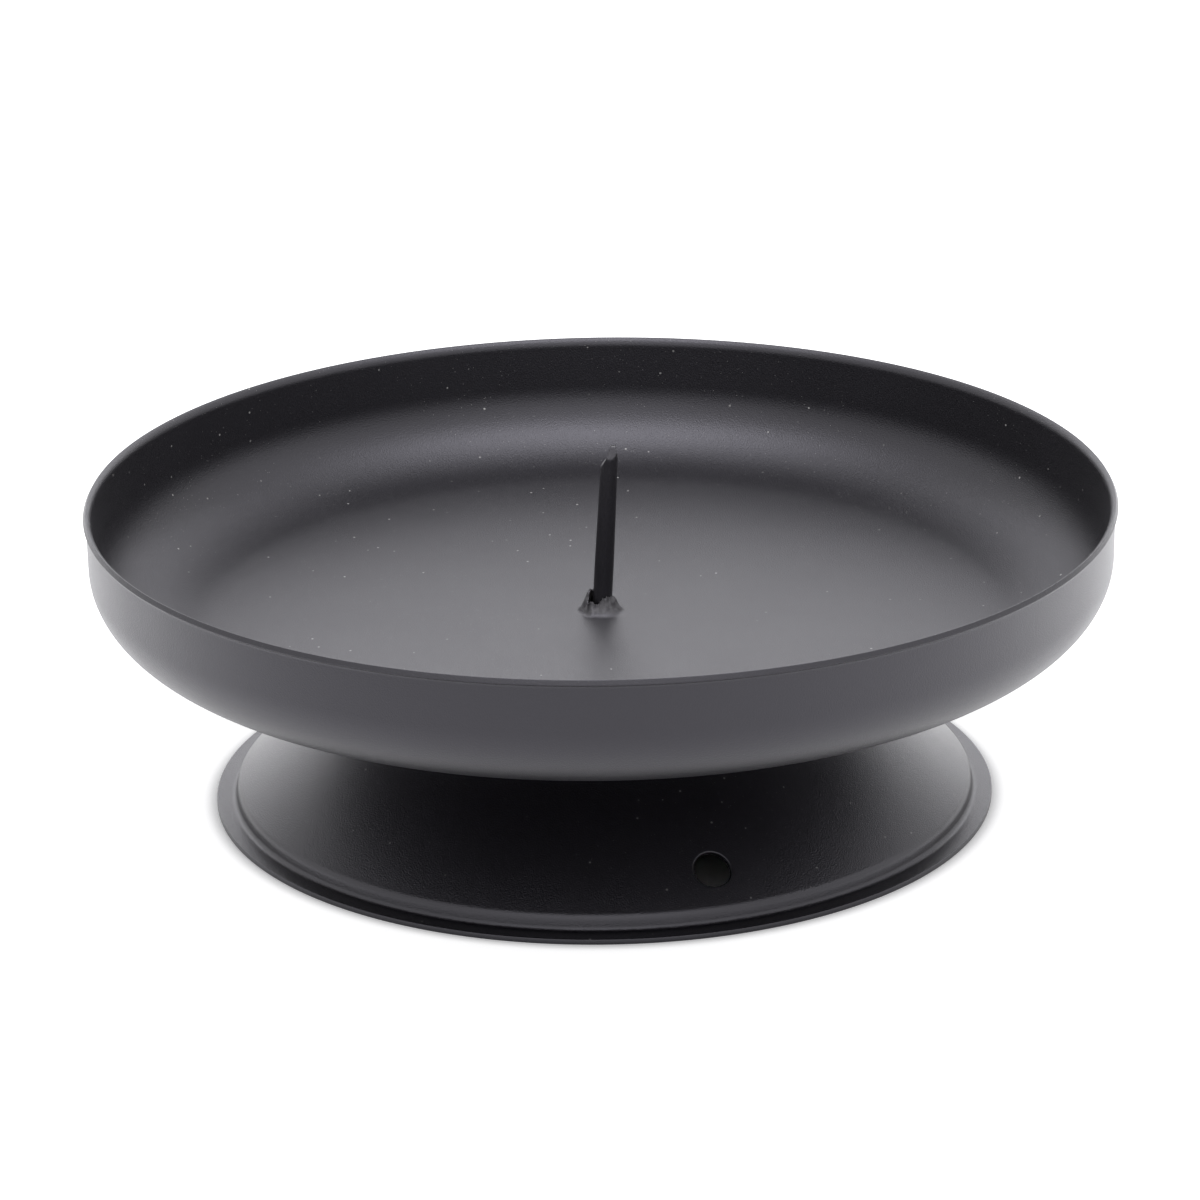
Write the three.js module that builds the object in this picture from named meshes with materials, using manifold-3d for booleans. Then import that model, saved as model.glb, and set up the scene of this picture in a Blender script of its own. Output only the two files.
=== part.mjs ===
// Candle plate: a round sheet-steel dish on a flared foot, painted black, with a wire nail
// driven up through both sheets as the spike that holds the candle.
// Millimetres, +Z up, -Y is the front. The origin is the centre of the foot's lower edge,
// on the table. Azimuths are in degrees from the front, growing towards +X.

import * as THREE from 'three';
import { mergeVertices } from 'three/addons/utils/BufferGeometryUtils.js';
import Module from 'manifold-3d';

const wasm = await Module();
wasm.setup();

// Dish, measured on its outside
const DISH_SHEET = 0.6;
const DISH_BOTTOM_RADIUS = 43.9;
const DISH_CORNER_WIDTH = 10.75;
const DISH_CORNER_HEIGHT = 8.2;
const DISH_WALL_HEIGHT = 5.3;
const DISH_WALL_LEAN = 0.5;
const LIP_HEIGHT = 0.45;
const LIP_FLARE = 0.3;

// Foot, measured on its outside
const FOOT_SHEET = 0.6;
const FOOT_HEIGHT = 19.9;
const FOOT_RADIUS = 42;
const FLANGE_WIDTH = 2.1;
const FLANGE_BEND = 0.35;
const STEP_HEIGHT = 1.45;
const STEP_SLANT = 0.2;
const STEP_BEND = 0.9;
const FLARE_RADIUS = 28;
const FLARE_HEIGHT = 11.87;
const FLARE_BEND = 50;
const TOP_RADIUS = 20.5;
const TOP_BEND = 3;

// Hole in the foot's flare, drilled square to the sheet
const HOLE_RADIUS = 2;
const HOLE_INSET = 5.8;
const HOLE_AZIMUTH = 17.6;

// Spike: a wire nail with a four-sided point, leaning a little to one side
const SHANK_RADIUS = 1.03;
const NECK_RADIUS = 0.9;
const TAPER_START = 5.5;
const SPIKE_RISE = 18.8;
const POINT_LENGTH = 2.35;
const POINT_BLUNT = 0.36;
const POINT_SHIFT = 0.25;
const HEAD_RADIUS = 2.3;
const HEAD_THICKNESS = 0.8;
const SPIKE_LEAN = 3.4;
const SPIKE_CLEARANCE = 0.3;

// Torn collar that the nail pushed up out of the dish's floor
const COLLAR_EDGE = 0.3;
const COLLAR_SPREAD = 1.65;
const COLLAR_HEIGHT = 2.3;
const COLLAR_SINK = 0.3;
const TEARS = [
  { azimuth: -42, width: 1.5, depth: 1 },
  { azimuth: -20, width: 0.5, depth: 1.2 },
  { azimuth: 80, width: 2.4, depth: 0.6 },
  { azimuth: 126, width: 0.6, depth: 1.5 },
  { azimuth: -137, width: 0.5, depth: 0.9 },
];

// How finely round shapes are cut into facets
const ROUND_STEPS = 72;
const SMALL_ROUND_STEPS = 32;
const CORNER_STEPS = 8;
const BEND_STEPS = 3;

const DISH_FLOOR = FOOT_HEIGHT + DISH_SHEET;

function paint(color) {
  return new THREE.MeshStandardMaterial({ color, roughness: 0.38, metalness: 0, flatShading: true });
}

// A closed geometry becomes a solid that can be joined and cut
function solid(geometry) {
  const bare = geometry.clone();
  bare.deleteAttribute('normal');
  bare.deleteAttribute('uv');
  const merged = mergeVertices(bare);
  const corners = merged.index.array;
  const triangles = [];
  for (let i = 0; i < corners.length; i += 3) {
    const [a, b, c] = [corners[i], corners[i + 1], corners[i + 2]];
    if (a !== b && b !== c && c !== a) triangles.push(a, b, c);
  }
  return new wasm.Manifold(new wasm.Mesh({
    numProp: 3,
    vertProperties: new Float32Array(merged.attributes.position.array),
    triVerts: new Uint32Array(triangles),
  }));
}

function geometryOf(body) {
  const mesh = body.getMesh();
  const geometry = new THREE.BufferGeometry();
  geometry.setAttribute('position', new THREE.BufferAttribute(mesh.vertProperties, 3));
  geometry.setIndex(new THREE.BufferAttribute(mesh.triVerts, 1));
  geometry.computeVertexNormals();
  return geometry;
}

// Turns a profile of (radius, height) points about the Z axis
function turned(profile, steps) {
  return new THREE.LatheGeometry(profile, steps).rotateX(Math.PI / 2);
}

// Rounds the inner corners of an outline: each corner is [radius, height, bend]
function bent(corners) {
  const points = [];
  corners.forEach(([radius, height, bend], i) => {
    const corner = new THREE.Vector2(radius, height);
    if (!bend) {
      points.push(corner);
      return;
    }
    const back = new THREE.Vector2(...corners[i - 1].slice(0, 2)).sub(corner).normalize();
    const on = new THREE.Vector2(...corners[i + 1].slice(0, 2)).sub(corner).normalize();
    const half = Math.acos(back.dot(on)) / 2;
    const start = corner.clone().addScaledVector(back, bend / Math.tan(half));
    const end = corner.clone().addScaledVector(on, bend / Math.tan(half));
    const centre = corner.clone().addScaledVector(back.clone().add(on).normalize(), bend / Math.sin(half));
    const from = start.clone().sub(centre);
    const to = end.clone().sub(centre);
    const sweep = Math.atan2(from.cross(to), from.dot(to));
    for (let k = 0; k <= BEND_STEPS; k++) {
      points.push(start.clone().rotateAround(centre, sweep * k / BEND_STEPS));
    }
  });
  return points;
}

// The profile of a sheet: one face is the outline, the other lies a thickness to one side.
// The outline starts on the axis, and side is 1 for the left of its direction, -1 for the right.
// The last edge is cut level where the sheet stands up, and square to it where the sheet lies.
function sheetProfile(outline, thickness, side) {
  const other = outline.map((point, i) => {
    const before = outline[i - 1] ?? point;
    const after = outline[i + 1] ?? point;
    const arriving = point.clone().sub(before).normalize();
    const leaving = after.clone().sub(point).normalize();
    if (after === point && Math.abs(arriving.y) > Math.abs(arriving.x)) {
      return point.clone().add(new THREE.Vector2(-side * thickness / arriving.y, 0));
    }
    const along = arriving.clone().add(leaving).normalize();
    const cosine = Math.max(along.dot(arriving), along.dot(leaving));
    const across = new THREE.Vector2(-along.y, along.x).multiplyScalar(side * thickness / cosine);
    return point.clone().add(across);
  });
  return side > 0 ? [...outline, ...other.reverse()] : [...other, ...outline.toReversed()];
}

// Flat bottom, elliptical corner, nearly upright wall and a short lip that leans out
function dishOutline() {
  const wallLean = DISH_WALL_HEIGHT * Math.tan(THREE.MathUtils.degToRad(DISH_WALL_LEAN));
  const wallFoot = new THREE.Vector2(DISH_BOTTOM_RADIUS + DISH_CORNER_WIDTH, FOOT_HEIGHT + DISH_CORNER_HEIGHT);
  const wallTop = wallFoot.clone().add(new THREE.Vector2(wallLean, DISH_WALL_HEIGHT));
  const corner = new THREE.EllipseCurve(
    DISH_BOTTOM_RADIUS, wallFoot.y, DISH_CORNER_WIDTH, DISH_CORNER_HEIGHT, -Math.PI / 2, 0);
  const lip = wallTop.clone().add(new THREE.Vector2(LIP_FLARE, LIP_HEIGHT));
  return [new THREE.Vector2(0, FOOT_HEIGHT), ...corner.getPoints(CORNER_STEPS), wallTop, lip];
}

// Flat top plate, flare, low step and the flat flange that stands on the table
function footOutline() {
  const stepRadius = FOOT_RADIUS - FLANGE_WIDTH;
  return bent([
    [0, FOOT_HEIGHT],
    [TOP_RADIUS, FOOT_HEIGHT, TOP_BEND],
    [FLARE_RADIUS, FLARE_HEIGHT, FLARE_BEND],
    [stepRadius - STEP_SLANT, FOOT_SHEET + STEP_HEIGHT, STEP_BEND],
    [stepRadius, FOOT_SHEET, FLANGE_BEND],
    [FOOT_RADIUS, FOOT_SHEET],
  ]);
}

// Height and slope of an outline at a radius
function surfaceAt(outline, radius) {
  const i = outline.findIndex((point) => point.x >= radius);
  const [inner, outer] = [outline[i - 1], outline[i]];
  const slope = (inner.y - outer.y) / (outer.x - inner.x);
  return { height: outer.y + slope * (outer.x - radius), slope: Math.atan(slope) };
}

// Stands something at the nail's place, leaning with it: its Z = 0 is the dish's floor
function leaning(object) {
  object.position.set(0, 0, DISH_FLOOR);
  object.rotation.y = THREE.MathUtils.degToRad(SPIKE_LEAN);
  object.updateMatrix();
  return object;
}

// The passage that the nail leaves in both sheets
function nailPassage() {
  const length = 2 * (FOOT_SHEET + DISH_SHEET + COLLAR_HEIGHT + HEAD_RADIUS);
  const bore = new THREE.CylinderGeometry(
    SHANK_RADIUS + SPIKE_CLEARANCE, SHANK_RADIUS + SPIKE_CLEARANCE, length, SMALL_ROUND_STEPS);
  return solid(bore.rotateX(Math.PI / 2).applyMatrix4(leaning(new THREE.Object3D()).matrix));
}

// A wedge that opens upwards and outwards, to tear the collar's edge
function tear({ azimuth, width, depth }, edgeRadius) {
  const wedge = new THREE.Shape([
    new THREE.Vector2(0, -depth),
    new THREE.Vector2(width, depth),
    new THREE.Vector2(-width, depth),
  ]);
  const cutter = new THREE.ExtrudeGeometry(wedge, { depth: 2 * edgeRadius, bevelEnabled: false });
  return solid(cutter
    .rotateX(Math.PI / 2)
    .translate(0, 0, DISH_FLOOR + COLLAR_HEIGHT)
    .rotateZ(THREE.MathUtils.degToRad(azimuth)));
}

// The sheet that the nail pushed up, torn into petals round it
function collar() {
  const edgeRadius = SHANK_RADIUS + SPIKE_CLEARANCE + COLLAR_EDGE;
  const baseRadius = SHANK_RADIUS + COLLAR_SPREAD;
  const slopeOut = new THREE.QuadraticBezierCurve(
    new THREE.Vector2(baseRadius, DISH_FLOOR),
    new THREE.Vector2((baseRadius + edgeRadius) / 2, DISH_FLOOR),
    new THREE.Vector2(edgeRadius, DISH_FLOOR + COLLAR_HEIGHT));
  let body = solid(turned([
    new THREE.Vector2(0, DISH_FLOOR - COLLAR_SINK),
    new THREE.Vector2(baseRadius, DISH_FLOOR - COLLAR_SINK),
    ...slopeOut.getPoints(BEND_STEPS + 2),
    new THREE.Vector2(0, DISH_FLOOR + COLLAR_HEIGHT),
  ], SMALL_ROUND_STEPS));
  for (const each of TEARS) body = body.subtract(tear(each, edgeRadius));
  return body;
}

function dish() {
  const shell = solid(turned(sheetProfile(dishOutline(), DISH_SHEET, 1), ROUND_STEPS));
  const body = shell.add(collar()).subtract(nailPassage());
  const mesh = new THREE.Mesh(geometryOf(body), paint(0x101013));
  mesh.name = 'dish';
  return mesh;
}

// The drill for the hole in the flare stands square to the sheet where the hole's centre is
function holeDrill(outline) {
  const reach = FOOT_RADIUS - HOLE_INSET;
  const { height, slope } = surfaceAt(outline, reach);
  const length = 8 * FOOT_SHEET;
  return solid(new THREE.CylinderGeometry(HOLE_RADIUS, HOLE_RADIUS, length, SMALL_ROUND_STEPS)
    .rotateX(Math.PI / 2 + slope)
    .translate(0, -reach, height)
    .rotateZ(THREE.MathUtils.degToRad(HOLE_AZIMUTH)));
}

function foot() {
  const outline = footOutline();
  const shell = solid(turned(sheetProfile(outline, FOOT_SHEET, -1), ROUND_STEPS));
  const body = shell.subtract(nailPassage()).subtract(holeDrill(outline));
  const mesh = new THREE.Mesh(geometryOf(body), paint(0x0d0d10));
  mesh.name = 'foot';
  return mesh;
}

// The nail's head sits under the foot's top plate, and its point stands over the dish
function spike() {
  const headTop = -(DISH_SHEET + FOOT_SHEET + SPIKE_CLEARANCE);
  const headBottom = headTop - HEAD_THICKNESS;
  const nail = solid(turned([
    new THREE.Vector2(0, headBottom),
    new THREE.Vector2(HEAD_RADIUS, headBottom),
    new THREE.Vector2(HEAD_RADIUS, headTop),
    new THREE.Vector2(SHANK_RADIUS, headTop),
    new THREE.Vector2(SHANK_RADIUS, TAPER_START),
    new THREE.Vector2(NECK_RADIUS, SPIKE_RISE - POINT_LENGTH),
    new THREE.Vector2(NECK_RADIUS, SPIKE_RISE),
    new THREE.Vector2(0, SPIKE_RISE),
  ], SMALL_ROUND_STEPS));

  const length = SPIKE_RISE - headBottom;
  const spread = (NECK_RADIUS - POINT_BLUNT) / POINT_LENGTH;
  const sides = new THREE.CylinderGeometry(
    Math.SQRT2 * POINT_BLUNT, Math.SQRT2 * (POINT_BLUNT + spread * length), length, 4)
    .rotateY(Math.PI / 4)
    .rotateX(Math.PI / 2)
    .translate(POINT_SHIFT, 0, SPIKE_RISE - length / 2);
  const mesh = new THREE.Mesh(geometryOf(nail.intersect(solid(sides))), paint(0x121215));
  mesh.name = 'spike';
  return leaning(mesh);
}

const candlePlate = new THREE.Group();
candlePlate.add(dish(), foot(), spike());

export default candlePlate;
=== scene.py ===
# %% [markdown]
# A black candle plate: a dish of pressed sheet steel on a flared foot, with a wire nail
# driven up through both as the spike. The real one is painted satin black, so its looks come
# almost wholly from reflections: the shapes have to be smooth and exact, and the light plain.
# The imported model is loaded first, because every piece below takes its place from it.

# %% The frame
import math

import bmesh
import bpy
from mathutils import Matrix, Vector, noise
from mathutils.geometry import interpolate_bezier


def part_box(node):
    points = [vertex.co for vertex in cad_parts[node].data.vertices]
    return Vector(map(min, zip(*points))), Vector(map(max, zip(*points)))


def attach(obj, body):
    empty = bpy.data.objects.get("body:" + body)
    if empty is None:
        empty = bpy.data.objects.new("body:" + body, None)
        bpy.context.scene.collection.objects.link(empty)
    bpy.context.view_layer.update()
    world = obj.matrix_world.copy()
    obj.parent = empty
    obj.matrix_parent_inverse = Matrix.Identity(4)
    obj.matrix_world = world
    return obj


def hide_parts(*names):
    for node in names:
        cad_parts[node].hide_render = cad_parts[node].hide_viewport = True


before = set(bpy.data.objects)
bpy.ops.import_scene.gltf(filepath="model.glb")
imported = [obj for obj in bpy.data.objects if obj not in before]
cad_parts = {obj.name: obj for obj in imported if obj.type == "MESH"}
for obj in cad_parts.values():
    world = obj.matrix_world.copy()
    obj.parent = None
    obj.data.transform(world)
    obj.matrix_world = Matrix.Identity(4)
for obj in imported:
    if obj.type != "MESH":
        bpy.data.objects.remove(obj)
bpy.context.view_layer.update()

scene = bpy.context.scene
print("frame nodes:", sorted(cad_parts))

# %% [markdown]
# Blender works in metres, and this plate's details are tenths of a millimetre. Mesh operators
# lose their footing on numbers that small, so every piece is drawn in millimetres and is
# brought to metres once, when it becomes an object. The main sizes are read from the packed
# nodes. Only what a box can't tell, such as the sheet's thickness, is written here.

# %% Sizes from the frame
MM = 0.001
dish_low, dish_high = (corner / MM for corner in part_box("dish"))
foot_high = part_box("foot")[1] / MM
spike_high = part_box("spike")[1] / MM

SHEET = 0.6
RIM_RADIUS = dish_high.x
RIM_HEIGHT = dish_high.z
UNDERSIDE = dish_low.z
FLOOR = UNDERSIDE + SHEET
FOOT_RADIUS = foot_high.x
FOOT_TOP = foot_high.z
TIP_HEIGHT = spike_high.z
print(f"rim {RIM_RADIUS:.1f} mm out and {RIM_HEIGHT:.1f} mm up, floor {FLOOR:.1f} mm up")

# %% [markdown]
# The camera comes next. It was worked out from the two circles that the photograph shows in
# full, the dish's lip and the foot's flange: one camera fits both. It stands about 0.6 m away,
# looks a little down, and is turned a little about its own line of sight.

# %% Camera
CAMERA_PLACE = Vector((0, -549.3, 226.55))
CAMERA_TILT = math.radians(20.45)
CAMERA_ROLL = math.radians(-0.81)
CAMERA_YAW = math.radians(0.02)
FOCAL_PIXELS = 5462.3
PHOTO_PIXELS = 1200


def make_camera():
    lens = bpy.data.cameras.new("camera")
    lens.sensor_width = 36
    lens.lens = FOCAL_PIXELS / PHOTO_PIXELS * lens.sensor_width
    camera = bpy.data.objects.new("camera", lens)
    turn = (Matrix.Rotation(CAMERA_YAW, 4, "Z")
            @ Matrix.Rotation(math.pi / 2 - CAMERA_TILT, 4, "X")
            @ Matrix.Rotation(CAMERA_ROLL, 4, "Z"))
    camera.matrix_world = Matrix.Translation(CAMERA_PLACE * MM) @ turn
    scene.collection.objects.link(camera)
    scene.camera = camera
    return camera


camera = make_camera()
print("camera lens", round(camera.data.lens, 1), "mm")

# %% [markdown]
# Sheet metal is drawn as a section: a chain of vertices in the XZ plane, made with a pen that
# only extrudes and spins its last vertex. A bend is a real arc, so a turned surface has no
# kinks. Long straight stretches get a guard vertex near each end. Without it, smooth shading
# would spread the tilt of a bend over the whole flat beside it, and a satin surface shows that.

# %% The section pen
GUARD = 0.12
MERGE = 1e-4


class Section:
    """A line drawn vertex by vertex as (radius, height), ready to be spun about Z."""

    def __init__(self, radius, height):
        self.bm = bmesh.new()
        self.first = self.bm.verts.new((radius, 0, height))
        self.tip = self.first

    def step_to(self, place):
        made = bmesh.ops.extrude_vert_indiv(self.bm, verts=[self.tip])
        self.tip = made["verts"][0]
        self.tip.co = place

    def line_to(self, radius, height, pieces=1):
        start, end = self.tip.co.copy(), Vector((radius, 0, height))
        length = (end - start).length
        shares = {k / pieces for k in range(1, pieces + 1)}
        if length / pieces > 2 * GUARD:
            shares |= {GUARD / length, 1 - GUARD / length}
        for share in sorted(shares):
            self.step_to(start.lerp(end, share))

    def arc(self, centre_radius, centre_height, degrees, steps):
        """Anticlockwise with the radius to the right and the height up."""
        before = set(self.bm.verts)
        made = bmesh.ops.spin(
            self.bm, geom=[self.tip], cent=(centre_radius, 0, centre_height), axis=(0, 1, 0),
            angle=-math.radians(degrees), steps=steps)
        self.tip = next(v for v in made["geom_last"] if isinstance(v, bmesh.types.BMVert))
        return [v for v in self.bm.verts if v not in before]

    def oval_arc(self, centre_radius, degrees, width, height, steps):
        """A quarter turn of an oval: a round arc, squeezed along Z towards where it started."""
        start = self.tip.co.z
        from_below = abs(self.tip.co.x - centre_radius) < MERGE
        new = self.arc(centre_radius, start + (width if from_below else 0), degrees, steps)
        bmesh.ops.scale(
            self.bm, vec=(1, 1, height / width), verts=new,
            space=Matrix.Translation((0, 0, -start)))

    def corners(self, path, steps, pieces=1):
        """Straight lines through (radius, height, bend), each corner rounded to its bend."""
        places = [Vector((radius, 0, height)) for radius, height, _ in path]
        for i, (_, _, bend) in enumerate(path):
            corner = places[i]
            if not bend:
                self.line_to(corner.x, corner.z, pieces)
                continue
            back = ((places[i - 1] if i else self.tip.co) - corner).normalized()
            on = (places[i + 1] - corner).normalized()
            half = back.angle(on) / 2
            start = corner + back * (bend / math.tan(half))
            centre = corner + (back + on).normalized() * (bend / math.sin(half))
            clockwise = back.x * on.z > back.z * on.x
            self.line_to(start.x, start.z, pieces)
            turn = math.degrees(math.pi - 2 * half)
            self.arc(centre.x, centre.z, -turn if clockwise else turn, steps)

    def close(self):
        self.line_to(self.first.co.x, self.first.co.z)
        bmesh.ops.remove_doubles(self.bm, verts=[self.first, self.tip], dist=MERGE)

    def spun(self, steps):
        """The whole section turned once about Z. The bmesh is handed on."""
        bmesh.ops.spin(
            self.bm, geom=self.bm.verts[:] + self.bm.edges[:], cent=(0, 0, 0), axis=(0, 0, 1),
            angle=math.tau, steps=steps, use_merge=True)
        bmesh.ops.remove_doubles(self.bm, verts=self.bm.verts[:], dist=MERGE)
        bmesh.ops.recalc_face_normals(self.bm, faces=self.bm.faces[:])
        return self.bm


print("section pen ready, guard", GUARD, "mm")

# %% [markdown]
# A finished bmesh becomes a piece in one way: brought to metres, shaded smooth except over
# sharp edges, with its own mesh at the origin and a ride on the body.

# %% From bmesh to piece
SHARP = math.radians(40)


def make_piece(bm, name, node):
    bmesh.ops.scale(bm, vec=(MM, MM, MM), verts=bm.verts[:])
    for face in bm.faces:
        face.smooth = True
    loose = sum(1 for edge in bm.edges if len(edge.link_faces) != 2)
    mesh = bpy.data.meshes.new(name)
    bm.to_mesh(mesh)
    bm.free()
    mesh.set_sharp_from_angle(angle=SHARP)
    piece = bpy.data.objects.new(name, mesh)
    scene.collection.objects.link(piece)
    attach(piece, "root")
    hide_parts(node)
    print(name, len(mesh.polygons), "faces,", loose, "open edges")
    return piece


# %% [markdown]
# The dish is drawn as a closed section: out along the underside, round the oval corner, up
# the wall, over the lip, back down the inside and in along the floor. On the real one the lip
# is the sheet's own edge, turned outwards at the very top so that its cut face looks out and
# a little up. Its two corners are crisp and the bend behind them is soft, so it shows as a
# dark line in front, a pale band at the near sides and almost nothing at the back. In the
# middle the same sheet turns up into the collar that the nail tore.

# %% The dish's section
FLAT_RADIUS = 43.9
CORNER_WIDTH = 10.75
CORNER_HEIGHT = 8.2
WALL_SPREAD = 0.05
LIP_SLOPE = math.radians(30)
LIP_REACH = 0.325
LIP_BEND = 0.48
LIP_ROUND = 0.08
CORNER_STEPS = 28
BEND_STEPS = 8
DISH_STEPS = 320


def dish_section(radius_at_start):
    wall_foot = UNDERSIDE + CORNER_HEIGHT
    outer = FLAT_RADIUS + CORNER_WIDTH
    section = Section(radius_at_start, UNDERSIDE)
    section.line_to(FLAT_RADIUS, UNDERSIDE)
    section.oval_arc(FLAT_RADIUS, 90, CORNER_WIDTH, CORNER_HEIGHT, CORNER_STEPS)

    spread = outer + WALL_SPREAD
    tip = spread + LIP_REACH
    tip_height = RIM_HEIGHT - SHEET * math.cos(LIP_SLOPE)
    crest = tip - SHEET * math.sin(LIP_SLOPE)
    inner = spread - SHEET
    section.corners([
        (spread, tip_height - LIP_REACH * math.tan(LIP_SLOPE), LIP_BEND),
        (tip, tip_height, LIP_ROUND),
        (crest, RIM_HEIGHT, LIP_ROUND),
        (inner, RIM_HEIGHT - (crest - inner) * math.tan(LIP_SLOPE), LIP_BEND + SHEET),
        (outer - SHEET, wall_foot, 0),
    ], BEND_STEPS)
    section.oval_arc(FLAT_RADIUS, -90, CORNER_WIDTH - SHEET, CORNER_HEIGHT - SHEET, CORNER_STEPS)
    return section


print(f"dish flat to {FLAT_RADIUS:.1f} mm, lip turned out {LIP_REACH:.2f} mm")

# %% [markdown]
# The nail was driven up through the sheet, so the sheet stands round it as a torn collar. It
# could be a ring of separate petals, but the real petals run into the floor without a seam.
# So the collar is drawn as a plain cone of thin sheet on the same section, with even steps up
# its outside and down its inside, and is shaped after it has been turned.

# %% The collar's section
COLLAR_RADIUS = 2.9
COLLAR_EDGE_RADIUS = 1.4
COLLAR_HEIGHT = 2.3
COLLAR_PIECES = 14
PASSAGE_RADIUS = 1.2


def draw_collar(section):
    """Draws the collar on from the floor and closes the section."""
    top = FLOOR + COLLAR_HEIGHT
    section.line_to(COLLAR_RADIUS, FLOOR, pieces=2)
    section.line_to(COLLAR_EDGE_RADIUS, top, pieces=COLLAR_PIECES)
    section.line_to(PASSAGE_RADIUS, top)
    section.line_to(PASSAGE_RADIUS, FLOOR, pieces=COLLAR_PIECES)
    section.close()


dish_line = dish_section(PASSAGE_RADIUS)
draw_collar(dish_line)
lip_reach = max(vert.co.x for vert in dish_line.bm.verts)
print("dish section has", len(dish_line.bm.verts), "points")
print(f"lip reaches {lip_reach:.2f} mm of the packed rim's {RIM_RADIUS:.2f} mm")

# %% [markdown]
# Each petal is a sheet that bends up from the floor, swells a little and closes on the nail.
# One curve with two handles says all of that: it leaves the floor level, as far out as the
# skirt reaches, turns up at the wall, and comes to the torn edge over the belly. Going round
# the nail, a short list of such curves was read off the photograph, and the places in between
# are eased. Where the height drops between two entries close together, the sheet has a tear.

# %% Tearing the collar
# Azimuth in degrees from the front towards +X. Then in mm: the height of the torn edge, its
# radius, the belly outside it, the radius where the wall turns up, and the skirt outside that.
PETALS = [
    (-180, 1.90, 1.35, 0.40, 1.85, 0.75),
    (-148, 2.05, 1.25, 0.50, 2.00, 0.65),
    (-137, 1.40, 1.40, 0.40, 2.00, 0.60),
    (-126, 2.15, 1.17, 0.62, 2.12, 0.58),
    (-98, 2.36, 1.30, 0.55, 2.20, 0.52),
    (-84, 2.16, 1.47, 0.40, 2.14, 0.55),
    (-76, 1.50, 1.57, 0.32, 2.08, 0.58),
    (-68, 1.20, 1.68, 0.22, 2.00, 0.64),
    (-58, 1.12, 1.74, 0.12, 1.92, 0.68),
    (-47, 1.34, 1.68, 0.14, 1.88, 0.75),
    (-41, 1.42, 1.62, 0.20, 1.90, 0.75),
    (-33, 1.22, 1.52, 0.34, 2.10, 0.60),
    (-25, 1.10, 1.46, 0.30, 2.05, 0.60),
    (-20, 1.08, 1.44, 0.24, 1.90, 0.75),
    (-12, 1.32, 1.42, 0.22, 1.80, 0.85),
    (-2, 1.68, 1.40, 0.22, 1.76, 0.88),
    (6, 1.90, 1.38, 0.24, 1.75, 0.88),
    (26, 1.93, 1.36, 0.26, 1.75, 0.88),
    (50, 1.88, 1.34, 0.32, 1.76, 0.85),
    (72, 1.75, 1.32, 0.43, 1.80, 0.75),
    (92, 1.54, 1.28, 0.52, 1.86, 0.65),
    (114, 1.40, 1.30, 0.48, 1.88, 0.65),
    (126, 0.75, 1.50, 0.30, 1.90, 0.65),
    (138, 1.50, 1.32, 0.45, 1.90, 0.65),
    (180, 1.90, 1.35, 0.40, 1.85, 0.75),
]
BELLY_LEVEL = 0.5
BELLY_RISE = 0.42


def between(low, high, share):
    return low + (high - low) * share


def eased(share):
    return share * share * (3 - 2 * share)


def petal_at(azimuth):
    """Height, edge, belly, wall and skirt at an azimuth, eased between the places above."""
    for before, after in zip(PETALS, PETALS[1:]):
        if azimuth <= after[0]:
            share = eased((azimuth - before[0]) / (after[0] - before[0]))
            return [between(low, high, share) for low, high in zip(before[1:], after[1:])]
    return PETALS[-1][1:]


def petal_curve(azimuth):
    """Points (radius, height above the floor) up the outside of the collar at an azimuth."""
    height, edge, belly, wall, skirt = petal_at(azimuth)
    belly_height = height * (BELLY_LEVEL + BELLY_RISE * belly)
    knots = (wall + skirt, 0), (wall, 0), (edge + belly, belly_height), (edge, height)
    return interpolate_bezier(*[Vector((r, z, 0)) for r, z in knots], COLLAR_PIECES + 1)


front_petal = petal_at(0)
print(f"collar at the front: {front_petal[0]:.2f} mm high, edge {front_petal[1]:.2f} mm out")

# %% [markdown]
# Now each ring of the plain cone is moved onto the petal curve of its azimuth. The inside is
# left a little hollow behind the torn edge. Torn steel is never even, so two noises, one
# coarse and one fine, crumple the wall, and two more make the edge ragged. Both grow from
# nothing at the floor, so the skirt stays smooth where it runs into the dish.

# %% Shaping the collar
EDGE_THICKNESS = 0.13
HOLLOW = 0.3
RAGGED_EDGE = 0.2
RAGGED_COARSE, RAGGED_FINE, RAGGED_FINE_SHARE = 9, 23, 0.6
CRUMPLE = 0.08
CRUMPLE_COARSE, CRUMPLE_FINE, CRUMPLE_FINE_SHARE = 5, 14, 0.5
CRUMPLE_CLIMB = 2
CRUMPLE_FINE_CLIMB = 3


def upward(height):
    return Vector((0, 0, height))


def ragged_at(around):
    fine = noise.noise(around * RAGGED_FINE)
    return noise.noise(around * RAGGED_COARSE) + RAGGED_FINE_SHARE * fine


def crumple_at(around, height):
    coarse = noise.noise(around * CRUMPLE_COARSE + upward(height * CRUMPLE_CLIMB))
    fine = noise.noise(around * CRUMPLE_FINE + upward(height * CRUMPLE_FINE_CLIMB))
    return coarse + CRUMPLE_FINE_SHARE * fine


def inner_reach(edge_reach, rise):
    """The radius of the collar's inside at a share of its height."""
    straight = between(PASSAGE_RADIUS, edge_reach - EDGE_THICKNESS, rise)
    return straight + HOLLOW * 4 * rise * (1 - rise)


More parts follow.
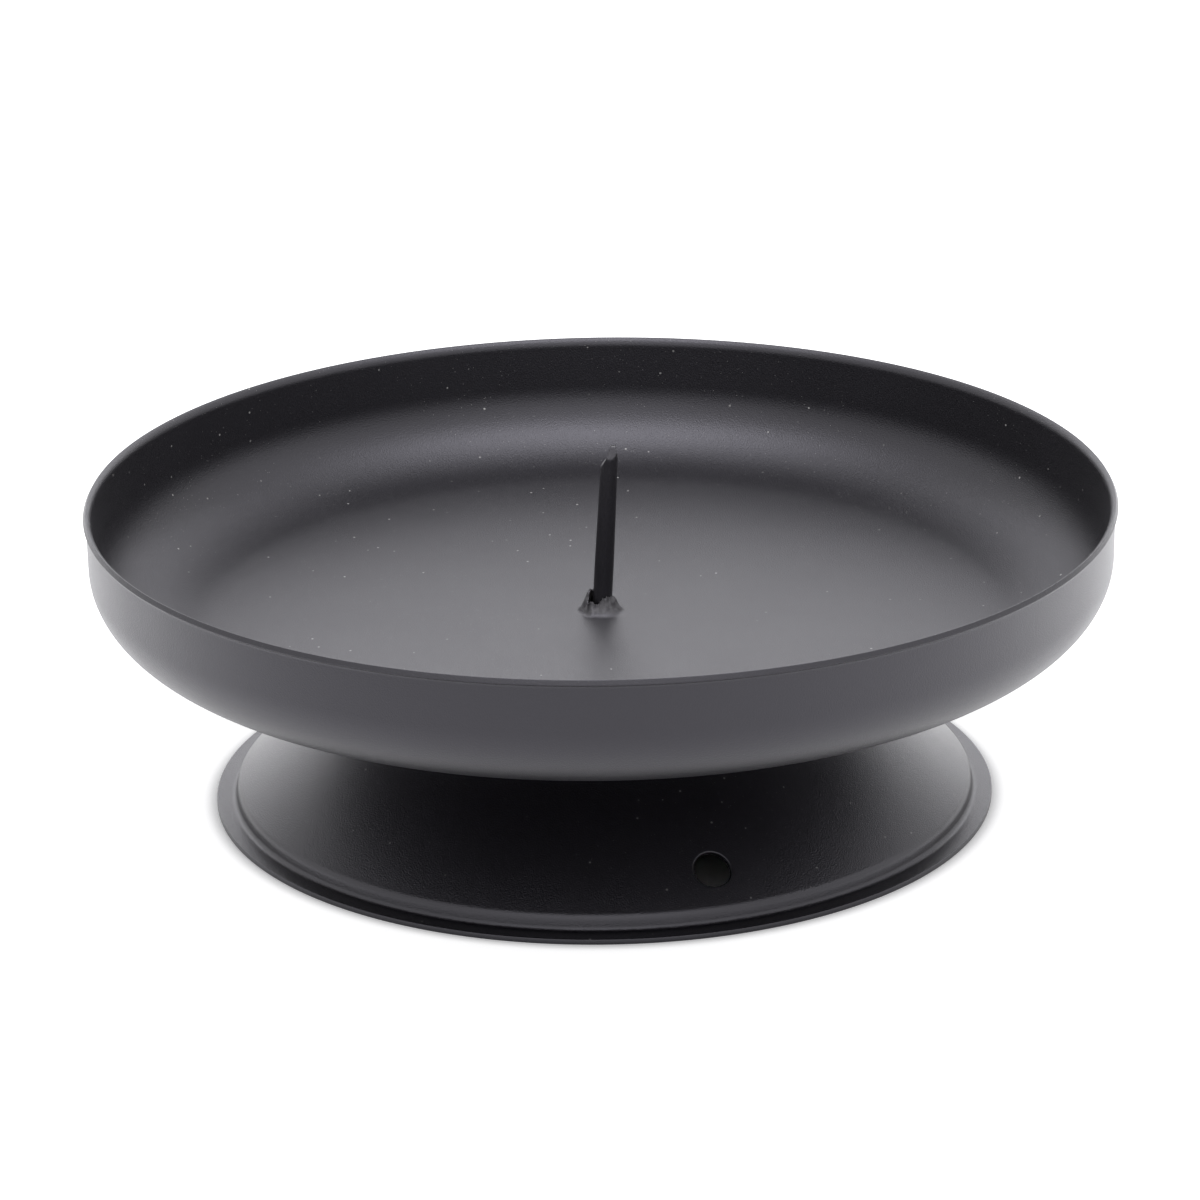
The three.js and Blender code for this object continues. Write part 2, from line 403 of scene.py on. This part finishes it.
def shape_collar(bm):
    moved = 0
    for vert in bm.verts:
        radius = math.hypot(vert.co.x, vert.co.y)
        rise = (vert.co.z - FLOOR) / COLLAR_HEIGHT
        if radius > COLLAR_RADIUS + MERGE or rise < -MERGE:
            continue
        azimuth = math.degrees(math.atan2(vert.co.x, -vert.co.y))
        curve = petal_curve(azimuth)
        reach, height, _ = curve[round(rise * COLLAR_PIECES)]
        if radius < PASSAGE_RADIUS + MERGE:
            reach = inner_reach(curve[-1].x, rise)
        around = Vector((vert.co.x, vert.co.y, 0)).normalized()
        reach += CRUMPLE * crumple_at(around, height) * rise
        height += RAGGED_EDGE * ragged_at(around) * rise ** 3
        vert.co = around * reach + upward(FLOOR + height)
        moved += 1
    return moved


dish_bm = dish_line.spun(DISH_STEPS)
collar_vertices = shape_collar(dish_bm)
print("collar vertices moved:", collar_vertices)
dish = make_piece(dish_bm, "dish_shell", "dish")

# %% [markdown]
# The foot is one sheet too. It is drawn as its outer face only, from the top plate down the
# flare, over a low step and out along the flange, because a hole has to be cut in it before
# it gets its thickness: then the wall of the hole comes by itself.

# %% The foot's outer face
TOP_RADIUS = 20.5
TOP_BEND = 3
FLARE_RADIUS = 28
FLARE_HEIGHT = 11.87
FLARE_BEND = 50
STEP_RADIUS = FOOT_RADIUS - 2.3
STEP_HEIGHT = SHEET + 1.45
STEP_BEND = 1.15
CREASE_RADIUS = FOOT_RADIUS - 2.1
CREASE_BEND = 0.55
NAIL_PASSAGE = 1.33
FLARE_PIECES = 12
FOOT_STEPS = 360


def foot_face():
    section = Section(NAIL_PASSAGE, FOOT_TOP)
    section.corners([
        (TOP_RADIUS, FOOT_TOP, TOP_BEND),
        (FLARE_RADIUS, FLARE_HEIGHT, FLARE_BEND),
        (STEP_RADIUS, STEP_HEIGHT, STEP_BEND),
        (CREASE_RADIUS, SHEET, CREASE_BEND),
        (FOOT_RADIUS, SHEET, 0),
    ], BEND_STEPS, FLARE_PIECES)
    return section.spun(FOOT_STEPS)


foot_bm = foot_face()
print("foot face", len(foot_bm.faces), "faces")

# %% [markdown]
# The hole is round, but the faces of the flare run in rows and columns. A patch of whole rows
# and columns is taken out, its edge is extruded and pulled in to a ring just outside the
# hole, and once more to the hole itself. Every new vertex is put back on the cone, so the
# reflections run on undisturbed round the hole.

# %% The hole in the flare
HOLE_RADIUS = 2.0
HOLE_REACH = FOOT_RADIUS - 5.8
HOLE_AZIMUTH = math.radians(17.6)
PATCH_HALF = 3
HOLE_MARGIN = 0.25

slope_angle = math.atan2(FLARE_HEIGHT - STEP_HEIGHT, STEP_RADIUS - FLARE_RADIUS)


def cone_height(radius):
    return STEP_HEIGHT + (STEP_RADIUS - radius) * math.tan(slope_angle)


hole_out = Vector((math.sin(HOLE_AZIMUTH), -math.cos(HOLE_AZIMUTH), 0))
hole_side = Vector((math.cos(HOLE_AZIMUTH), math.sin(HOLE_AZIMUTH), 0))
uphill = -hole_out * math.cos(slope_angle) + Vector((0, 0, math.sin(slope_angle)))
hole_centre = hole_out * HOLE_REACH + Vector((0, 0, cone_height(HOLE_REACH)))


def across_hole(place):
    offset = place - hole_centre
    return offset.dot(hole_side), offset.dot(uphill)


def pull_to_ring(verts, radius):
    for vert in verts:
        across, up = across_hole(vert.co)
        reach = radius / math.hypot(across, up)
        place = hole_centre + hole_side * across * reach + uphill * up * reach
        vert.co = (place.x, place.y, cone_height(math.hypot(place.x, place.y)))


def in_patch(face):
    place = face.calc_center_median()
    radius = math.hypot(place.x, place.y)
    turn = math.atan2(place.x, -place.y) - HOLE_AZIMUTH
    beside = abs(turn) * HOLE_REACH < PATCH_HALF
    return beside and abs(radius - HOLE_REACH) < PATCH_HALF * math.cos(slope_angle)


def cut_hole(bm):
    patch = [face for face in bm.faces if in_patch(face)]
    bmesh.ops.delete(bm, geom=patch, context="FACES")
    edges = [edge for edge in bm.edges if edge.is_boundary
             and (edge.verts[0].co - hole_centre).length < 2 * PATCH_HALF]
    for radius in (HOLE_RADIUS + HOLE_MARGIN, HOLE_RADIUS):
        made = bmesh.ops.extrude_edge_only(bm, edges=edges)["geom"]
        pull_to_ring([item for item in made if isinstance(item, bmesh.types.BMVert)], radius)
        new_edges = [item for item in made if isinstance(item, bmesh.types.BMEdge)]
        edges = [edge for edge in new_edges if edge.is_boundary]
    return len(edges)


hole_sides = cut_hole(foot_bm)
print(f"hole has {hole_sides} sides, slope {math.degrees(slope_angle):.1f} degrees")

# %% [markdown]
# Now the face gets its thickness, inwards and down, and every edge that was cut from sheet,
# at the flange, the hole and the nail's passage, is rounded a little, as paint rounds it.

# %% Thickness and edges of the foot
EDGE_ROUND = 0.1
CUT_ANGLE = math.radians(60)


def thicken(bm):
    bm.normal_update()
    bmesh.ops.recalc_face_normals(bm, faces=bm.faces[:])
    highest = max(bm.faces, key=lambda face: face.calc_center_median().z)
    if highest.normal.z < 0:
        bmesh.ops.reverse_faces(bm, faces=bm.faces[:])
    bmesh.ops.solidify(bm, geom=bm.faces[:], thickness=SHEET)


def round_cut_edges(bm, width):
    cut = [edge for edge in bm.edges if edge.calc_face_angle(0) > CUT_ANGLE]
    bmesh.ops.bevel(
        bm, geom=cut, offset=width, offset_type="OFFSET", affect="EDGES", segments=3,
        profile=0.5, material=-1)
    return len(cut)


thicken(foot_bm)
heights = [vert.co.z for vert in foot_bm.verts]
print("foot from", round(min(heights), 3), "to", round(max(heights), 3), "mm")
edges_rounded = round_cut_edges(foot_bm, EDGE_ROUND)
print("edges rounded:", edges_rounded)
foot = make_piece(foot_bm, "foot_shell", "foot")

# %% [markdown]
# The spike is a wire nail: a flat head under the foot's top plate, a shank that gets thinner
# towards its end, and a point nipped from four sides by the nail machine's cutters. It is
# drawn upright as a turned body with a few rings near its end. Those rings are then squeezed
# from round to four-sided, and only after that is the nail leaned over to where it stands.

# %% The nail
SHANK_RADIUS = 1.03
NECK_RADIUS = 0.9
TAPER_START = 5.5
POINT_LENGTH = 2.35
SHOULDER = 1.0
HEAD_RADIUS = 2.3
HEAD_THICKNESS = 0.8
HEAD_GAP = 0.3
HEAD_ROUND = 0.2
SPIKE_LEAN = math.radians(3.4)
HEAD_STEPS = 4
SHOULDER_RINGS = 6
POINT_RINGS = 10
TIP_RINGS = 3
NAIL_STEPS = 64
TIP_CLEARANCE = 0.05


def nail_body(length):
    head_top = -2 * SHEET - HEAD_GAP
    neck = length - POINT_LENGTH
    section = Section(0, head_top - HEAD_THICKNESS)
    section.corners([
        (HEAD_RADIUS, head_top - HEAD_THICKNESS, HEAD_ROUND),
        (HEAD_RADIUS, head_top, HEAD_ROUND),
        (SHANK_RADIUS, head_top, HEAD_ROUND),
        (SHANK_RADIUS, TAPER_START, 0),
    ], HEAD_STEPS)
    section.line_to(NECK_RADIUS, neck)
    section.line_to(NECK_RADIUS, neck + SHOULDER, SHOULDER_RINGS)
    section.line_to(NECK_RADIUS, length, POINT_RINGS)
    section.line_to(0, length, TIP_RINGS)
    return section.spun(NAIL_STEPS)


nail_length = (TIP_HEIGHT - FLOOR) / math.cos(SPIKE_LEAN) - TIP_CLEARANCE
nail_bm = nail_body(nail_length)
print(f"nail stands {nail_length:.1f} mm above the floor, {2 * SHANK_RADIUS:.2f} mm thick")

# %% [markdown]
# The cutters nip the wire with flat faces, so the point is made in the same way: everything
# outside four planes is brought in to them. The left plane bit first and a little from
# behind, and made a steep shoulder that shows only as an edge from the front. The other three
# start to slope above it. The end is a little ragged.

# %% Nipping the point
SHOULDER_LEFT = 0.3
TIP_LEFT = 0.06
TIP_RIGHT = 0.54
LEFT_TURN = 0.3
TIP_HALF_DEPTH = 0.2
TIP_RAGGED = 0.16
TIP_NOISE_STRETCH = 2.6
TIP_NOISE_LAYER = 0.7


def nip_point(bm, length):
    for vert in bm.verts:
        above = vert.co.z - (length - POINT_LENGTH)
        if above < MERGE:
            continue
        bite = min(above / SHOULDER, 1)
        slope = max(above - SHOULDER, 0) / (POINT_LENGTH - SHOULDER)
        left = between(-NECK_RADIUS, between(-SHOULDER_LEFT, TIP_LEFT, slope), bite)
        left += LEFT_TURN * (vert.co.y + NECK_RADIUS / 2) * bite * (1 - slope)
        right = between(NECK_RADIUS, TIP_RIGHT, slope)
        depth = between(NECK_RADIUS, TIP_HALF_DEPTH, slope)
        ragged = noise.noise(
            Vector((vert.co.x * TIP_NOISE_STRETCH, vert.co.y, TIP_NOISE_LAYER)))
        vert.co.x = min(max(vert.co.x, left), right)
        vert.co.y = min(max(vert.co.y, -depth), depth)
        if slope > 1 - MERGE:
            vert.co.z -= TIP_RAGGED * abs(ragged)


nip_point(nail_bm, nail_length)
bmesh.ops.recalc_face_normals(nail_bm, faces=nail_bm.faces[:])
stand = Matrix.Translation((0, 0, FLOOR)) @ Matrix.Rotation(SPIKE_LEAN, 4, "Y")
bmesh.ops.transform(nail_bm, matrix=stand, verts=nail_bm.verts[:])
spike = make_piece(nail_bm, "nail", "spike")

# %% [markdown]
# Shader maths reads best as plain expressions. This small class wraps a socket, so that
# a * b + 0.2 adds the Math nodes that it says, and any other node comes from one method.

# %% Shader expressions
class Value:
    """A socket in a node tree, with arithmetic that adds Math nodes."""

    def __init__(self, shader, socket):
        self.shader = shader
        self.socket = socket

    def math(self, operation, *others):
        inputs = {i: value for i, value in enumerate((self, *others))}
        return self.shader.node("ShaderNodeMath", {"operation": operation}, inputs)[0]

    def __add__(self, other):
        return self.math("ADD", other)

    def __radd__(self, other):
        return self + other

    def __mul__(self, other):
        return self.math("MULTIPLY", other)

    def __rmul__(self, other):
        return self * other

    def __sub__(self, other):
        return self.math("SUBTRACT", other)

    def __rsub__(self, other):
        return self * -1 + other

    def smooth(self, low, high):
        """0 below low, 1 above high, eased between them."""
        settings = {"interpolation_type": "SMOOTHSTEP"}
        return self.shader.node("ShaderNodeMapRange", settings, {0: self, 1: low, 2: high})[0]


class Shader:
    """One material's nodes, made one after another."""

    def __init__(self, tree):
        self.tree = tree
        tree.nodes.clear()

    def node(self, kind, settings=None, inputs=None):
        made = self.tree.nodes.new(kind)
        for name, value in (settings or {}).items():
            setattr(made, name, value)
        for key, value in (inputs or {}).items():
            if isinstance(value, Value):
                self.tree.links.new(value.socket, made.inputs[key])
            else:
                made.inputs[key].default_value = value
        return [Value(self, socket) for socket in made.outputs]

    def named(self, outputs, name):
        return next(value for value in outputs if value.socket.name == name)

    def vector_math(self, operation, *vectors):
        inputs = {i: vector for i, vector in enumerate(vectors)}
        return self.node("ShaderNodeVectorMath", {"operation": operation}, inputs)

    def length(self, vector):
        return self.named(self.vector_math("LENGTH", vector), "Value")

    def height_of(self, vector):
        return self.node("ShaderNodeSeparateXYZ", {}, {0: vector})[2]


print("shader helper ready")

# %% [markdown]
# The paint's patterns are made from noise in the piece's own coordinates, so they stay on the
# metal whatever the view. Painted images could hold them too, but they would need unwrapping
# and would blur up close. Every size is given in millimetres, as it would be measured.

# %% Patterns on the metal
def object_place(shader):
    return shader.named(shader.node("ShaderNodeTexCoord"), "Object")


def noise_at(shader, place, size, detail=2, roughness=0.5):
    """Noise of about that size in millimetres, from 0 to 1."""
    outputs = shader.node("ShaderNodeTexNoise", {}, {
        "Vector": place, "Scale": 1 / (size * MM), "Detail": detail, "Roughness": roughness})
    return outputs[0]


def level_part(shader, place):
    return shader.vector_math("MULTIPLY", place, (1, 1, 0))[0]


def mix_colours(shader, factor, first, second):
    outputs = shader.node(
        "ShaderNodeMix", {"data_type": "RGBA"}, {"Factor": factor, 6: first, 7: second})
    return next(value for value in outputs if value.socket.type == "RGBA")


print("pattern helpers ready")

# %% [markdown]
# Fine dust lies on a black plate at once. It settles on what faces up and is caught by the
# dish's inner wall, but not by the outer walls, and lies in loose patches. It is a pattern of
# small round specks in two sizes. Scattered pieces would look the same and weigh far more.

# %% Dust
FINE_SPACING, FINE_SPECK, FINE_SHARE = 0.6, 0.06, 0.5
COARSE_SPACING, COARSE_SPECK = 2.3, 0.15
SPECK_CORE = 0.6
PATCH_SIZE, PATCH_FROM, PATCH_TO = 14, 0.32, 0.62
OUTER_WALL_LOSS = 0.6
CATCH_FROM, CATCH_TO = -0.3, 0.8


def specks(shader, place, spacing, size):
    """1 inside small round specks, one in each cell of the spacing, both in millimetres."""
    outputs = shader.node(
        "ShaderNodeTexVoronoi", {}, {"Vector": place, "Scale": 1 / (spacing * MM)})
    distance = shader.named(outputs, "Distance")
    return 1 - distance.smooth(size / spacing * SPECK_CORE, size / spacing)


def dust_catch(shader, place):
    """1 on what faces up or inwards, where dust gathers, and 0 on outer walls."""
    normal = shader.named(shader.node("ShaderNodeTexCoord"), "Normal")
    outwards = shader.vector_math("NORMALIZE", level_part(shader, place))[0]
    facing = shader.named(shader.vector_math("DOT_PRODUCT", normal, outwards), "Value")
    up = shader.height_of(normal)
    return (up - facing * OUTER_WALL_LOSS).smooth(CATCH_FROM, CATCH_TO)


def dust_at(shader, place, share):
    fine = specks(shader, place, FINE_SPACING, FINE_SPECK) * FINE_SHARE
    coarse = specks(shader, place, COARSE_SPACING, COARSE_SPECK)
    patches = noise_at(shader, place, PATCH_SIZE).smooth(PATCH_FROM, PATCH_TO)
    settled = dust_catch(shader, place) * patches * share
    return fine.math("MAXIMUM", coarse) * settled


print("dust specks", 2 * FINE_SPECK, "and", 2 * COARSE_SPECK, "mm across")

# %% [markdown]
# Where the sheet tore, the collar gets a paler grey in patches: partly the paint thinned on the
# torn steel, and partly painted light on the petals. Where the cutters nipped the nail, the same
# grey is a painted highlight at the point, for the light that its upturned facets catch from
# above. The dish's flat floor is made paler and a little more matt. All of these are told from
# where a point lies on its piece. Each piece has its own function, which gives how much of the
# pale grey goes there and how much of the paler floor.

# %% Worn, painted-highlight and paler places
TORN_FROM, TORN_TO = 2.4, 3
TORN_RISE_FROM, TORN_RISE_TO = 0.1, 0.6
# The dish's flat floor is made paler and a little more matt, fading over this width.
PALE_FLOOR_FADE = 3
# A painted highlight: the nail's point is paled towards its tip, for the light that its upturned
# facets catch.
POINT_HIGHLIGHT = 0.25
POINT_HIGHLIGHT_FROM, POINT_HIGHLIGHT_TO = 1.5, 1.1


# The collar's pale grey is partly thin paint and partly painted light; the flat floor is made
# paler.
def dish_marks(shader, place):
    radius = shader.length(level_part(shader, place))
    height = shader.height_of(place)
    near_nail = 1 - radius.smooth(TORN_FROM * MM, TORN_TO * MM)
    raised = height.smooth((FLOOR + TORN_RISE_FROM) * MM, (FLOOR + TORN_RISE_TO) * MM)
    off_floor = radius.smooth((FLAT_RADIUS - PALE_FLOOR_FADE) * MM, (FLAT_RADIUS + PALE_FLOOR_FADE) * MM)
    return near_nail * raised, 1 - off_floor


def foot_marks(shader, place):
    return 0, 0


# The nail's point gets a painted highlight, growing towards the tip.
def nail_highlight(shader, place):
    low, high = TIP_HEIGHT - POINT_HIGHLIGHT_FROM, TIP_HEIGHT - POINT_HIGHLIGHT_TO
    return shader.height_of(place).smooth(low * MM, high * MM) * POINT_HIGHLIGHT, 0


print(f"floor dry within {FLAT_RADIUS:.1f} mm of the middle")

# %% [markdown]
# The paint is a thin satin black, sprayed and baked. Its own colour is nearly nothing, so what
# shows is gloss: the room, blurred. A single roughness would look like plastic. Sprayed paint
# has a fine pebbled skin a sixth of a millimetre across, lies on slow waves, and is a little
# more matt in some places than in others. The gloss is tinted by a touch towards blue, as
# carbon black is. The foot is the glossiest of the three and the nail the most matt.

# %% Satin black paint
PAINT_IOR = 1.65
PAINT_TINT = (0.93, 0.91, 1.0, 1)
DRIFT_SIZE = 9
ROUGHNESS_DRIFT = 0.06
DARKER, LIGHTER = 0.8, 1.2
PEBBLE_SIZE, PEBBLE_ROUGHNESS, PEBBLE_SHARE = 0.16, 0.6, 0.85
WAVE_SIZE = 1.6
SKIN_DEPTH = 0.045
# The dish's flat floor is made paler and a little more matt.
PALE_FLOOR_ROUGHNESS = 0.04
PALE_FLOOR_COLOUR = (0.018, 0.0175, 0.019, 1)
DUST_ROUGHNESS = 0.4
DUST_COLOUR = (0.6, 0.59, 0.57, 1)
WEAR_AND_HIGHLIGHT_SIZE, WEAR_AND_HIGHLIGHT_FROM, WEAR_AND_HIGHLIGHT_TO = 0.6, 0.2, 0.75
# Pale grey: thin paint on the torn collar, and painted light on its petals and on the nail's
# point.
WEAR_AND_HIGHLIGHT_COLOUR = (0.13, 0.127, 0.13, 1)


def paint_skin(shader, place):
    """The bump of the pebbled skin on its slow waves."""
    pebbles = noise_at(shader, place, PEBBLE_SIZE, roughness=PEBBLE_ROUGHNESS)
    waves = noise_at(shader, place, WAVE_SIZE, detail=1)
    height = pebbles * PEBBLE_SHARE + waves * (1 - PEBBLE_SHARE)
    return shader.node("ShaderNodeBump", {}, {
        "Strength": 1, "Distance": SKIN_DEPTH * MM, "Height": height})[0]


def shaded(colour, share):
    return (*[channel * share for channel in colour], 1)


def paint_material(name, colour, roughness, dust_share, marks):
    material = bpy.data.materials.new(name)
    material.use_nodes = True
    shader = Shader(material.node_tree)
    place = object_place(shader)
    drift = noise_at(shader, place, DRIFT_SIZE, detail=3)
    dust = dust_at(shader, place, dust_share)
    wear_and_highlight_share, pale = marks(shader, place)
    wear_and_highlight = noise_at(shader, place, WEAR_AND_HIGHLIGHT_SIZE, detail=3).smooth(WEAR_AND_HIGHLIGHT_FROM, WEAR_AND_HIGHLIGHT_TO) * wear_and_highlight_share
    base = mix_colours(shader, drift, shaded(colour, DARKER), shaded(colour, LIGHTER))
    # The dish's flat floor made paler.
    base = mix_colours(shader, pale, base, PALE_FLOOR_COLOUR)
    # Pale grey in patches: thin paint on the torn collar, and painted highlight on its petals
    # and the nail's point.
    base = mix_colours(shader, wear_and_highlight, base, WEAR_AND_HIGHLIGHT_COLOUR)
    base = mix_colours(shader, dust, base, DUST_COLOUR)
    matt = (drift - 0.5) * ROUGHNESS_DRIFT + pale * PALE_FLOOR_ROUGHNESS + dust * DUST_ROUGHNESS
    paint = shader.node("ShaderNodeBsdfPrincipled", {}, {
        "Base Color": base,
        "Roughness": matt + roughness,
        "Normal": paint_skin(shader, place),
        "IOR": PAINT_IOR,
        "Specular Tint": PAINT_TINT})[0]
    shader.node("ShaderNodeOutputMaterial", {}, {"Surface": paint})
    return material


def set_material(piece, material):
    piece.data.materials.clear()
    piece.data.materials.append(material)


PAINTS = [
    # piece, name, colour, roughness, share of dust, its worn, painted-highlight and paler-floor
    # places
    (dish, "dish_black", (0.005, 0.0045, 0.006), 0.36, 0.9, dish_marks),
    (foot, "foot_black", (0.0045, 0.004, 0.0055), 0.29, 0.4, foot_marks),
    (spike, "nail_black", (0.006, 0.0055, 0.007), 0.40, 0.3, nail_highlight),
]
for piece, *finish in PAINTS:
    set_material(piece, paint_material(*finish))
print("materials:", [material.name for material in bpy.data.materials])

# %% [markdown]
# The plate stands on a white floor. A brighter lamp could whiten it, but would whiten the
# paint too. So the floor is matt and keeps the foot's shadow, with a glow on top that only the
# camera and the gloss see. To the camera it makes the floor white. In reflections it is weaker
# in front and stronger behind and to the right, as on a white sweep lit from there: that is
# what draws the dish's sides lighter than its front. It also fades close to the foot, where
# hardly any light gets in, and there is none in the hollow under it.

# %% The floor
FLOOR_SIZE = 6
FLOOR_WHITE = 0.9
CAMERA_GLOW = 0.76
FRONT_GLOW, BACK_GLOW, RIGHT_GLOW = 0.26, 1.1, 0.5
BACK_FROM, BACK_TO = -0.14, 0.06
RIGHT_FROM, RIGHT_TO = 0.03, 0.2
CONTACT_INSET = 0.5
CONTACT_REACH = 1.7
CONTACT_GLOW = 0.25
WHITE = (1, 1, 1, 1)


def split_rays(shader):
    """1 for camera rays, and 1 for reflected or transmitted rays."""
    path = shader.node("ShaderNodeLightPath")
    transmitted = shader.named(path, "Is Transmission Ray")
    reflected = shader.named(path, "Is Glossy Ray").math("MAXIMUM", transmitted)
    return shader.named(path, "Is Camera Ray"), reflected


def make_floor():
    bm = bmesh.new()
    bmesh.ops.create_grid(bm, x_segments=1, y_segments=1, size=FLOOR_SIZE / 2)
    mesh = bpy.data.meshes.new("floor")
    bm.to_mesh(mesh)
    bm.free()
    floor = bpy.data.objects.new("floor", mesh)
    scene.collection.objects.link(floor)
    return floor


def glow_seen(shader, place):
    """How strongly the floor glows, to the camera and in reflections."""
    camera_ray, reflected_ray = split_rays(shader)
    across, along, _ = shader.node("ShaderNodeSeparateXYZ", {}, {0: place})
    behind = along.smooth(BACK_FROM, BACK_TO)
    right = across.smooth(RIGHT_FROM, RIGHT_TO)
    reflected_glow = behind * (BACK_GLOW - FRONT_GLOW) + right * RIGHT_GLOW + FRONT_GLOW
    return camera_ray * CAMERA_GLOW + reflected_ray * reflected_glow


def open_share(shader, place):
    """0 in the hollow under the foot, low close round it, and 1 a little way off."""
    radius = shader.length(place)
    outside = radius.math("GREATER_THAN", CREASE_RADIUS * MM)
    near, far = FOOT_RADIUS - CONTACT_INSET, FOOT_RADIUS + CONTACT_REACH
    clear = radius.smooth(near * MM, far * MM)
    return (clear * (1 - CONTACT_GLOW) + CONTACT_GLOW) * outside


def floor_material():
    material = bpy.data.materials.new("floor_white")
    material.use_nodes = True
    shader = Shader(material.node_tree)
    place = object_place(shader)
    glow = glow_seen(shader, place) * open_share(shader, place)
    white = (FLOOR_WHITE, FLOOR_WHITE, FLOOR_WHITE, 1)
    matt = shader.node("ShaderNodeBsdfDiffuse", {}, {"Color": white})[0]
    shine = shader.node("ShaderNodeEmission", {}, {"Color": WHITE, "Strength": glow})[0]
    both = shader.node("ShaderNodeAddShader", {}, {0: matt, 1: shine})[0]
    shader.node("ShaderNodeOutputMaterial", {}, {"Surface": both})
    return material


floor = make_floor()
set_material(floor, floor_material())
print("floor", FLOOR_SIZE, "m wide")

# %% [markdown]
# Round the floor the world is evenly white, to the camera and in the gloss. As a light it is
# turned down, because a room that lights from all sides would lift the foot's shadow and the
# dark places between the dish and the foot.

# %% The world
WORLD_FILL = 0.3


def light_world():
    world = bpy.data.worlds.new("studio")
    scene.world = world
    world.use_nodes = True
    shader = Shader(world.node_tree)
    camera_ray, reflected_ray = split_rays(shader)
    seen = camera_ray.math("MAXIMUM", reflected_ray)
    strength = seen * (1 - WORLD_FILL) + WORLD_FILL
    light = shader.node("ShaderNodeBackground", {}, {"Color": WHITE, "Strength": strength})[0]
    shader.node("ShaderNodeOutputWorld", {}, {"Surface": light})


light_world()
scene.view_settings.view_transform = "Standard"
print("world lights at", WORLD_FILL, "of white")

# %% [markdown]
# Satin black shows lamps as soft bands. The wide bright band round the dish's inside corner is
# a broad soft lamp overhead, a little towards the camera. The pale floor of the dish is the
# light behind, seen at a flat angle. Weak lamps in front and at the right fill the rest. Each
# lamp's strength is given as how bright it looks, because that is what the gloss shows, and
# its watts follow from its size.

# %% Soft lamps
LAMP_DISTANCE = 1.0
LAMP_COLOUR = (0.985, 0.985, 1.03)
LAMPS = [
    # name, azimuth from the front, elevation, width and height in metres, brightness
    ("soft_lamp_above", 0, 80, 1.30, 0.50, 1.95),
    ("soft_lamp_overhead", 0, 88, 0.70, 0.90, 1.65),
    ("soft_lamp_front", 0, 48, 0.90, 0.40, 0.62),
    ("soft_lamp_front_low", 0, 25, 1.20, 0.40, 0.36),
    ("soft_lamp_behind", 180, 40, 1.30, 0.40, 1.18),
    ("soft_lamp_behind_low", 180, 18, 1.60, 0.40, 1.05),
    ("soft_lamp_right", 90, 35, 0.90, 0.60, 0.20),
]


def hang_lamp(name, azimuth, elevation, width, height, brightness):
    lamp = bpy.data.lights.new(name, "AREA")
    lamp.shape = "RECTANGLE"
    lamp.size, lamp.size_y = width, height
    lamp.energy = brightness * math.pi * width * height
    lamp.color = LAMP_COLOUR
    turn = (Matrix.Rotation(math.radians(azimuth), 4, "Z")
            @ Matrix.Rotation(math.radians(90 - elevation), 4, "X"))
    holder = bpy.data.objects.new(name, lamp)
    holder.matrix_world = turn @ Matrix.Translation((0, 0, LAMP_DISTANCE))
    holder.visible_camera = False
    scene.collection.objects.link(holder)


for lamp in LAMPS:
    hang_lamp(*lamp)
